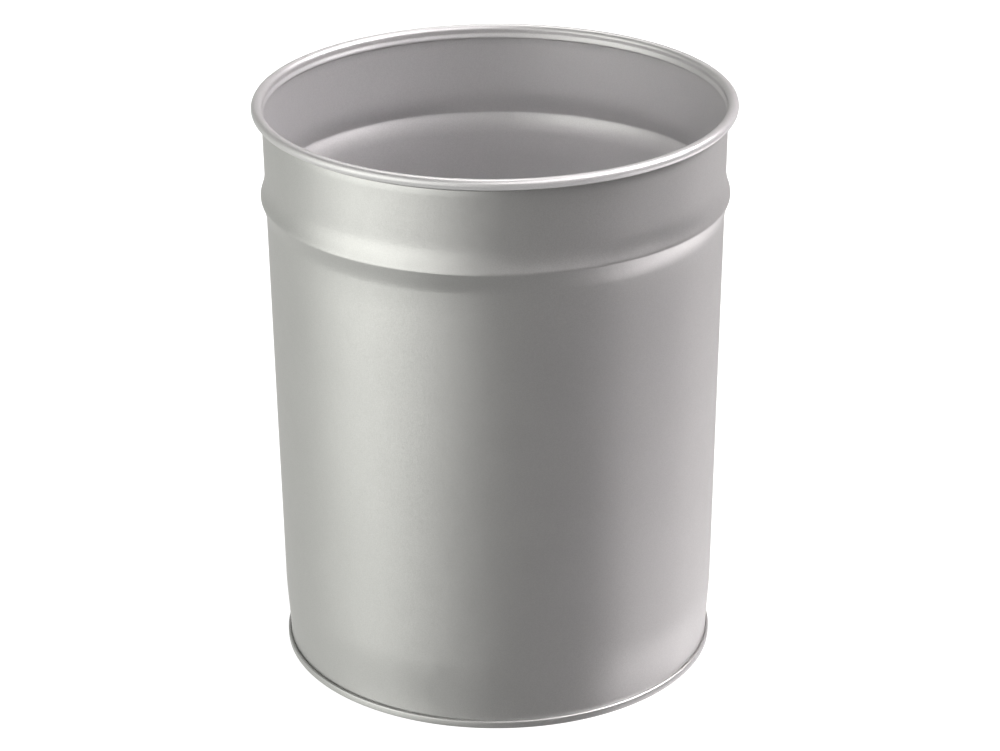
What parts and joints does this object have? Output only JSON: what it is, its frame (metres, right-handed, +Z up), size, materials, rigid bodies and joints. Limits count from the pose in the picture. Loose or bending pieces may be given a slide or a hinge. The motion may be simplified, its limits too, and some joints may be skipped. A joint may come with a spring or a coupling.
{
  "type": "metal waste bin",
  "caption": "Open-topped round sheet-steel waste bin with a curled rim, a swelling pressed round the upper wall, a slight taper and a base folded on in a double seam.",
  "frame": {"origin": "centre of the ring that the bin stands on, level with the floor", "axes": "+Z up along the bin's axis; -Y faces the viewer; +X is to the viewer's right, and the welded seam is on that side, 7 degrees behind +X"},
  "size_m": [0.26, 0.26, 0.318],
  "materials": {
    "lacquered_sheet": "satin silver metallic lacquer"
  },
  "bodies": {
    "root": {"body_shell": "lacquered_sheet", "base_pan": "lacquered_sheet"}
  },
  "joints": []
}
